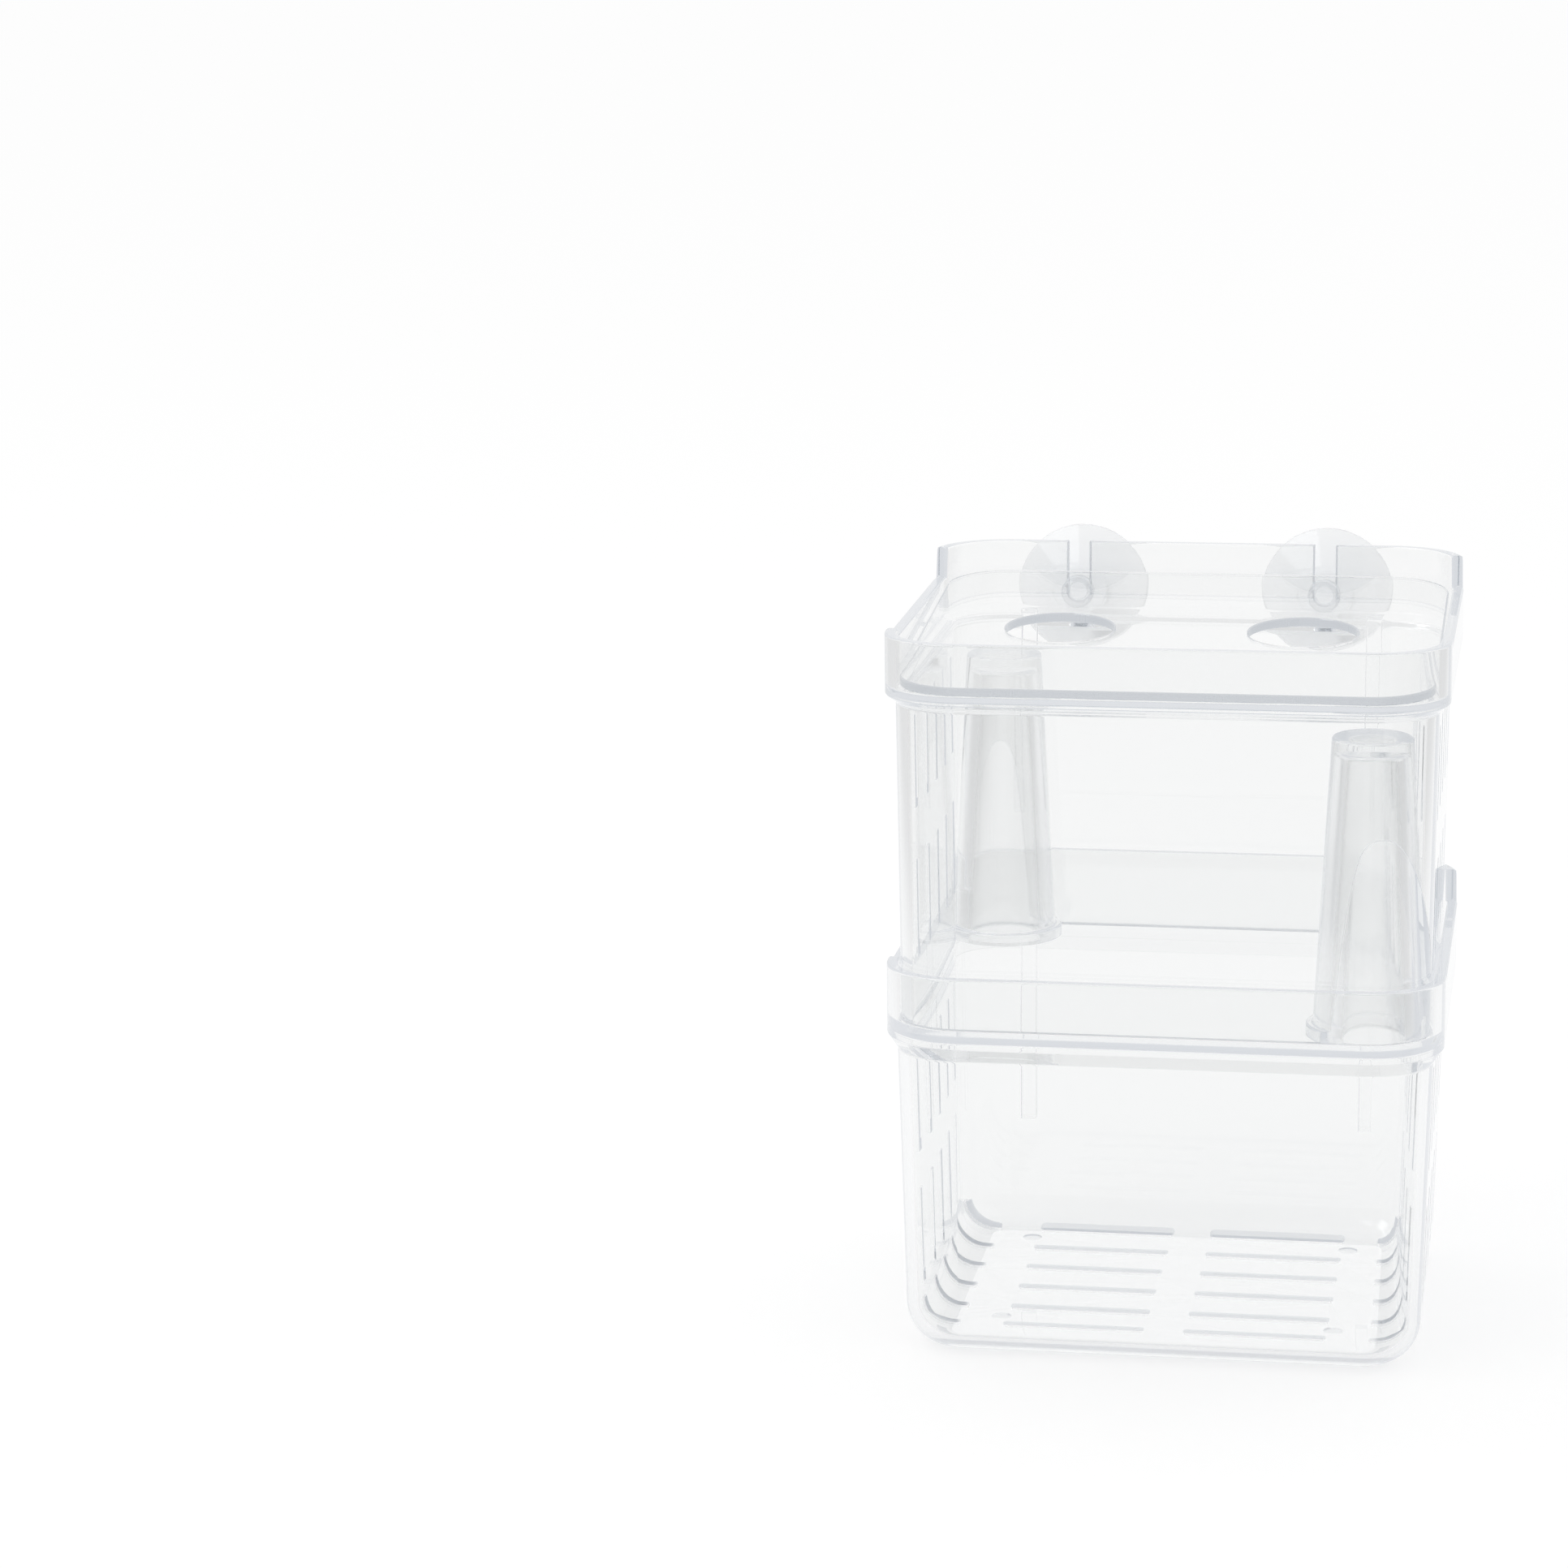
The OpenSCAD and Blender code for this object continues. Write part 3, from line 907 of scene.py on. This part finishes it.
feed_holes = [mounts[name] for name in ("feed_hole_left", "feed_hole_right")]
hole_r = feed_holes[0]["dims"]["r_mm"]
hole_x = feed_holes[1]["pos_m"][0] / MM
lid_middle = (Vector(feed_holes[0]["pos_m"]) + Vector(feed_holes[1]["pos_m"])) / 2
lean = math.asin(feed_holes[0]["axis"][1])


def add_feed_holes(bm):
    edge = half_t - HOLE_EDGE
    wide = hole_r + HOLE_EDGE + PAST
    hole = [(wide, -half_t - PAST), (hole_r, -edge), (hole_r, edge), (wide, half_t + PAST)]
    for side in (-1, 1):
        add_lathe(bm, (side * hole_x, 0, 0), hole, HOLE_STEPS)


lid = sweep("clear_lid", lid_section, stations(corner_x, corner_y, lid_out), closed=False)
combine(lid, solid(add_feed_holes), "DIFFERENCE")
lid.data.transform(Matrix.Translation(lid_middle) @ Matrix.Rotation(-lean, 4, "X"))
finish_shape(lid)
print(f"the lid leans {math.degrees(-lean):.2f} degrees")

# %% [markdown]
# A suction cup is one soft moulding: a button in front of the collar, a neck in the slot, a thick
# hub and a thin dished skirt that ends in a fine lip. A lattice or a sculpted disc could give its
# shape, but it is round all over, so it is turned like a pot from one outline. The outline runs
# from the middle of the button, along the outside to the lip, and back along the hollow.

# %% Outline of a suction cup
CUP_R = 12.6
CUP_REACH = 7.6
CUP_HOLLOW = 3.0
CLEARANCE = 0.3
BUTTON_R = 3.1
BUTTON_T = 2.8
BUTTON_EDGE_R = 0.9
BUTTON_BACK_R = 0.4
NECK_FILLET_R = 0.2
HUB_SHARE = 0.42
HUB_H = 1.2
HUB_EDGE_R = 0.6
SKIRT_FILLET_R = 0.9
HOLLOW_FILLET_R = 1.5
LIP_T = 0.6
LIP_EDGE_R = 0.25
NEAR_AXIS = 0.01

neck_r = NECK_SLOT_W / 2 - CLEARANCE
button_y = -WALL - CLEARANCE
hub_r = CUP_R * HUB_SHARE
hollow_y = CUP_REACH - CUP_HOLLOW

cup_outline = soften(
    [
        (NEAR_AXIS, button_y - BUTTON_T, 0),
        (BUTTON_R, button_y - BUTTON_T, BUTTON_EDGE_R),
        (BUTTON_R, button_y, BUTTON_BACK_R),
        (neck_r, button_y, NECK_FILLET_R),
        (neck_r, CLEARANCE, NECK_FILLET_R),
        (hub_r, CLEARANCE, HUB_EDGE_R),
        (hub_r, CLEARANCE + HUB_H, SKIRT_FILLET_R),
        (CUP_R, CUP_REACH - LIP_T, LIP_EDGE_R),
        (CUP_R, CUP_REACH, LIP_EDGE_R),
        (CUP_R - LIP_T, CUP_REACH, LIP_EDGE_R),
        (hub_r, hollow_y + LIP_T, HOLLOW_FILLET_R),
        (NEAR_AXIS, hollow_y, 0),
    ]
)
print(f"a cup is {2 * CUP_R:.1f} mm across, {len(cup_outline)} points in its outline")


# %% The suction cups
def suction_cup(name, cup):
    """A cup turned about a line that points to the back."""
    bm = bmesh.new()
    place = Matrix.Translation((cup.x, back_y, cup_z)) @ Matrix.Rotation(math.radians(-90), 4, "X")
    add_lathe(bm, None, cup_outline, place=place)
    piece = new_object(name, bm)
    finish_shape(piece)
    return piece


cups = [suction_cup("soft_cup_left", cup_at[0]), suction_cup("soft_cup_right", cup_at[1])]

# %% [markdown]
# Clear moulded plastic is glass to a renderer: it bends light and takes a little of it. What
# shows it are its edges, where light has gone a long way through the plastic and comes out grey
# with a touch of blue, and the faint waves that the flowing plastic leaves in a wall. Grey could
# be painted on the edges, but a volume puts it there by itself, wherever the plastic is deep, and
# a very weak bump gives the waves. Nodes are made by a small helper, so that each line below
# reads as one node with what goes into it.


# %% Node helpers
def add_node(tree, kind, inputs=None, **settings):
    """A node with its settings; each input is given a value, or another node's output to link."""
    made = tree.nodes.new("ShaderNode" + kind)
    for name, value in settings.items():
        setattr(made, name, value)
    for name, value in (inputs or {}).items():
        if isinstance(value, bpy.types.NodeSocket):
            tree.links.new(value, made.inputs[name])
        else:
            made.inputs[name].default_value = value
    return made


# A Mix node has sockets of the same name for every type of data, so they are picked by number.
def mix_numbers(tree, factor, low, high):
    """A number that goes from low to high with the factor."""
    return add_node(tree, "Mix", {0: factor, 2: low, 3: high}, data_type="FLOAT").outputs[0]


def mix_colours(tree, factor, low, high):
    return add_node(tree, "Mix", {0: factor, 6: low, 7: high}, data_type="RGBA").outputs[2]


def new_tree(owner):
    """The empty node tree of a material or a world."""
    owner.use_nodes = True
    owner.node_tree.nodes.clear()
    return owner.node_tree


def opaque(colour):
    """A colour with full alpha, as a socket wants it."""
    return (*colour, 1)


print("a colour for a socket:", opaque((1, 1, 1)))

# %% [markdown]
# The surface of the plastic is one Principled shader with full transmission. Its roughness wavers
# with the same slow noise as its bump. On a tray the faces' two numbers also turn the polished
# colour and haze into a painted grey shade and the haze of a face that a blade has cut. The lid and
# the cups have no such faces, so their colour is set on the shader itself.

# %% The surface of clear plastic
WAVE = 0.00001


def plastic_skin(tree, ior, transmission, colour, haze, wave_size, shaded_hazy_faces):
    """haze is (least, most) roughness; the last argument is the painted shade colour and the haze
    of the dullest faces.
    """
    place = add_node(tree, "TexCoord").outputs["Object"]
    flow = add_node(tree, "TexNoise", {"Vector": place, "Scale": 1 / wave_size, "Detail": 0})
    waves = flow.outputs["Fac"]
    bump = add_node(tree, "Bump", {"Height": waves, "Strength": 1, "Distance": WAVE})
    seen_colour = opaque(colour)
    seen_haze = mix_numbers(tree, waves, *haze)
    if shaded_hazy_faces:
        painted_shade_colour, cut_haze = shaded_hazy_faces
        # Faces that carry grey take the painted shade colour.
        face_painted_shade = add_node(tree, "Attribute", attribute_name="grey").outputs["Fac"]
        face_haze = add_node(tree, "Attribute", attribute_name="haze").outputs["Fac"]
        seen_colour = mix_colours(tree, face_painted_shade, opaque(colour), opaque(painted_shade_colour))
        duller = mix_numbers(tree, waves, *cut_haze)
        seen_haze = mix_numbers(tree, face_haze, seen_haze, duller)
    inputs = {
        "Base Color": seen_colour,
        "Roughness": seen_haze,
        "IOR": ior,
        "Transmission Weight": transmission,
        "Normal": bump.outputs["Normal"],
    }
    return add_node(tree, "BsdfPrincipled", inputs).outputs["BSDF"]


print(f"the waves in a wall are {WAVE / MM:.2f} mm deep")


# %% [markdown]
# Two things are added to the surface. Light that is thrown back and forth inside an edge would be
# lost after a few turns, so a pale grey glow is painted there in its place. And rays that look for
# a lamp pass straight through, because a clear box hardly darkens the table it stands on.

# %% Clear plastic
TRAPPED_AFTER = 2.5
LIGHT_LET_THROUGH = (0.93, 0.94, 0.96)


def clear_material(name, trapped_colour, depth, transmission=1.0, shaded_hazy_faces=None, **skin):
    """Clear plastic; depth is the (colour, density) of the volume inside it."""
    material = bpy.data.materials.new(name)
    tree = new_tree(material)
    skin_shader = plastic_skin(tree, transmission=transmission, shaded_hazy_faces=shaded_hazy_faces, **skin)
    path = add_node(tree, "LightPath").outputs
    turns = {0: path["Glossy Depth"], 1: TRAPPED_AFTER}
    trapped = add_node(tree, "Math", turns, operation="GREATER_THAN").outputs[0]
    # Painted light: an emission that glows wherever a ray stays trapped in the plastic.
    painted_trapped_glow = add_node(tree, "Emission", {"Color": opaque(trapped_colour)}).outputs[0]
    inside = add_node(tree, "MixShader", {0: trapped, 1: skin_shader, 2: painted_trapped_glow}).outputs[0]
    open_way = add_node(tree, "BsdfTransparent", {"Color": opaque(LIGHT_LET_THROUGH)}).outputs[0]
    shadow = path["Is Shadow Ray"]
    surface = add_node(tree, "MixShader", {0: shadow, 1: inside, 2: open_way}).outputs[0]
    inputs = {"Color": opaque(depth[0]), "Density": depth[1]}
    within = add_node(tree, "VolumeAbsorption", inputs).outputs[0]
    add_node(tree, "OutputMaterial", {"Surface": surface, "Volume": within})
    print(f"{name}: {len(tree.nodes)} nodes, absorbs {depth[1]} per metre")
    return material


# %% [markdown]
# The trays and the lid are the same hard plastic, much like polystyrene. The lid's edge is sawn
# and not moulded, and the glow painted into its edge is darker. The cups are soft vinyl: milkier,
# rougher and with a lower bend.

# %% The three plastics
HARD = {
    "ior": 1.53,
    "colour": (0.960, 0.963, 0.962),
    "haze": (0.0, 0.02),
    "wave_size": 0.012,
    "depth": ((0.82, 0.84, 0.86), 22),
}
# Painted shade colour of the cut faces, and their haze.
PAINTED_SHADE_AND_HAZE_OF_CUTS = ((0.575, 0.60, 0.635), (0.2, 0.45))
SOFT = {
    "ior": 1.42,
    "colour": (0.96, 0.965, 0.97),
    "haze": (0.06, 0.12),
    "wave_size": 0.004,
    "depth": ((0.80, 0.82, 0.84), 130),
    "transmission": 0.88,
}
# Colours of the glow painted where light is trapped in the walls, the lid and the cups.
TRAPPED_IN_WALLS = (0.785, 0.80, 0.83)
TRAPPED_IN_SHEET = (0.67, 0.69, 0.72)
TRAPPED_IN_CUPS = (0.73, 0.75, 0.78)
clear_walls = clear_material("clear_walls", TRAPPED_IN_WALLS, shaded_hazy_faces=PAINTED_SHADE_AND_HAZE_OF_CUTS, **HARD)
clear_sheet = clear_material("clear_sheet", TRAPPED_IN_SHEET, **HARD)
soft_clear = clear_material("soft_clear", TRAPPED_IN_CUPS, **SOFT)

# %% [markdown]
# Each piece now takes the place of its node in the frame, takes its plastic, and rides on that
# node's body, so that it moves with it when a tray or the lid is lifted or a cup is turned. The
# pieces could simply be parented, but then the frame's plain solids would still stand inside
# them, and clear plastic would show them.

# %% Dress the frame
for piece, node, slot_name, material in (
    (lower_tray, "lower_tray", "clear_plastic", clear_walls),
    (upper_tray, "upper_tray", "clear_plastic", clear_walls),
    (lid, "lid", "clear_plastic", clear_sheet),
    (cups[0], "suction_cup_left", "soft_clear", soft_clear),
    (cups[1], "suction_cup_right", "soft_clear", soft_clear),
):
    piece.data.materials.clear()
    piece.data.materials.append(material)
    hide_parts(node)
    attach(piece, node)
    print(f"{piece.name} replaces {node}")

# %% [markdown]
# The box stands on a white table in front of a white wall. Clear plastic on white shows only if
# something in the room is darker than the wall. More light can't do that, so the white itself is
# shaped. The table's white is a sheet of paper of limited width: seen through the plastic it
# falls off to grey at both sides, which is what shades the round float columns. The camera itself
# sees plain white all over, and the table's matt part keeps the box's faint shadow.

# %% Table
TABLE_SIZE = 6.0
PAPER_FROM = 0.16
PAPER_TO = 0.42
PAPER_GLOW = 0.72
TABLE_GLOW = 0.5
TABLE_GREY = (0.3, 0.3, 0.3)
WHITE = (1, 1, 1)


def larger(tree, a, b):
    return add_node(tree, "Math", {0: a, 1: b}, operation="MAXIMUM").outputs[0]


def times(tree, a, b):
    return add_node(tree, "Math", {0: a, 1: b}, operation="MULTIPLY").outputs[0]


def ramp(tree, value, from_min, from_max, to_min, to_max):
    """A smooth step from one level to another."""
    inputs = {
        "Value": value,
        "From Min": from_min,
        "From Max": from_max,
        "To Min": to_min,
        "To Max": to_max,
    }
    return add_node(tree, "MapRange", inputs, interpolation_type="SMOOTHSTEP").outputs["Result"]


table_white = bpy.data.materials.new("table_white")
tree = new_tree(table_white)
place = add_node(tree, "TexCoord").outputs["Object"]
x = add_node(tree, "SeparateXYZ", {"Vector": place}).outputs["X"]
aside = add_node(tree, "Math", {0: x}, operation="ABSOLUTE").outputs[0]
paper = ramp(tree, aside, PAPER_FROM, PAPER_TO, PAPER_GLOW, TABLE_GLOW)
path = add_node(tree, "LightPath").outputs
through = times(tree, larger(tree, path["Is Glossy Ray"], path["Is Transmission Ray"]), paper)
share = larger(tree, times(tree, path["Is Camera Ray"], PAPER_GLOW), through)
glow = add_node(tree, "Emission", {"Color": opaque(WHITE), "Strength": share})
matt = add_node(tree, "BsdfDiffuse", {"Color": opaque(TABLE_GREY)})
both = add_node(tree, "AddShader", {0: matt.outputs[0], 1: glow.outputs[0]})
add_node(tree, "OutputMaterial", {"Surface": both.outputs[0]})

bm = bmesh.new()
bmesh.ops.create_grid(bm, x_segments=1, y_segments=1, size=TABLE_SIZE / MM)
table = new_object("table", bm)
table.data.materials.clear()
table.data.materials.append(table_white)
print(f"table {2 * TABLE_SIZE:.0f} m wide, paper {2 * PAPER_TO:.2f} m wide")

# %% [markdown]
# The room is the world: white behind and above, and a soft grey low down in front, as a studio is
# where the camera stands. It could be built of large planes, but a world needs no mesh and never
# stands in the camera's way.

# %% Room
WALL_FROM = -0.5
WALL_TO = 0.25
STUDIO_GREY = 0.7

world = bpy.data.worlds.new("white_room")
bpy.context.scene.world = world
tree = new_tree(world)
look = add_node(tree, "TexCoord").outputs["Generated"]
y = add_node(tree, "SeparateXYZ", {"Vector": look}).outputs["Y"]
wall_side = ramp(tree, y, WALL_FROM, WALL_TO, STUDIO_GREY, 1.0)
level = larger(tree, wall_side, add_node(tree, "LightPath").outputs["Is Camera Ray"])
room = add_node(tree, "Background", {"Color": opaque(WHITE), "Strength": level})
add_node(tree, "OutputWorld", {"Surface": room.outputs[0]})
print(f"room: white behind, {STUDIO_GREY:.0%} in front")

# %% [markdown]
# One large soft lamp above and to the left gives the curved edges their thin highlights. A small
# lamp would make hard spots on the plastic, and a sun none at all.

# %% Lamp
LAMP_SIZE = 0.8
LAMP_POWER = 4
LAMP_AT = (-0.7, -0.5, 1.1)
LAMP_AIM = (0, 0, 0.07)

lamp_data = bpy.data.lights.new("soft_box", "AREA")
lamp_data.shape = "RECTANGLE"
lamp_data.size = LAMP_SIZE
lamp_data.size_y = LAMP_SIZE
lamp_data.energy = LAMP_POWER
lamp = bpy.data.objects.new("soft_box", lamp_data)
bpy.context.scene.collection.objects.link(lamp)
lamp.location = LAMP_AT
to_box = Vector(LAMP_AIM) - lamp.location
lamp.rotation_euler = to_box.to_track_quat("-Z", "Y").to_euler()
print(f"lamp {to_box.length:.2f} m from the box")

# %% [markdown]
# The photograph is taken from a little above, nearly in front and slightly from the right, with a
# long lens and the box low on the right of the picture. The camera could be moved about until the
# outline fits. Here its place and turn were worked out from the corners of both collars and of
# the floor.

# %% Camera
CAMERA_LENS = 106.8
CAMERA_SENSOR = 36
CAMERA_NEAREST = 0.01
CAMERA_AT = (0.0745, -0.8351, 0.28235)
CAMERA_TURN_DEG = (77.668, 0.649, 9.940)

camera_data = bpy.data.cameras.new("camera")
camera_data.lens = CAMERA_LENS
camera_data.sensor_width = CAMERA_SENSOR
camera_data.clip_start = CAMERA_NEAREST
camera = bpy.data.objects.new("camera", camera_data)
bpy.context.scene.collection.objects.link(camera)
camera.location = CAMERA_AT
camera.rotation_euler = Euler([math.radians(a) for a in CAMERA_TURN_DEG], "XYZ")
bpy.context.scene.camera = camera
bpy.context.scene.view_settings.view_transform = "Standard"
print(f"camera {(camera.location - Vector(LAMP_AIM)).length:.2f} m from the box")
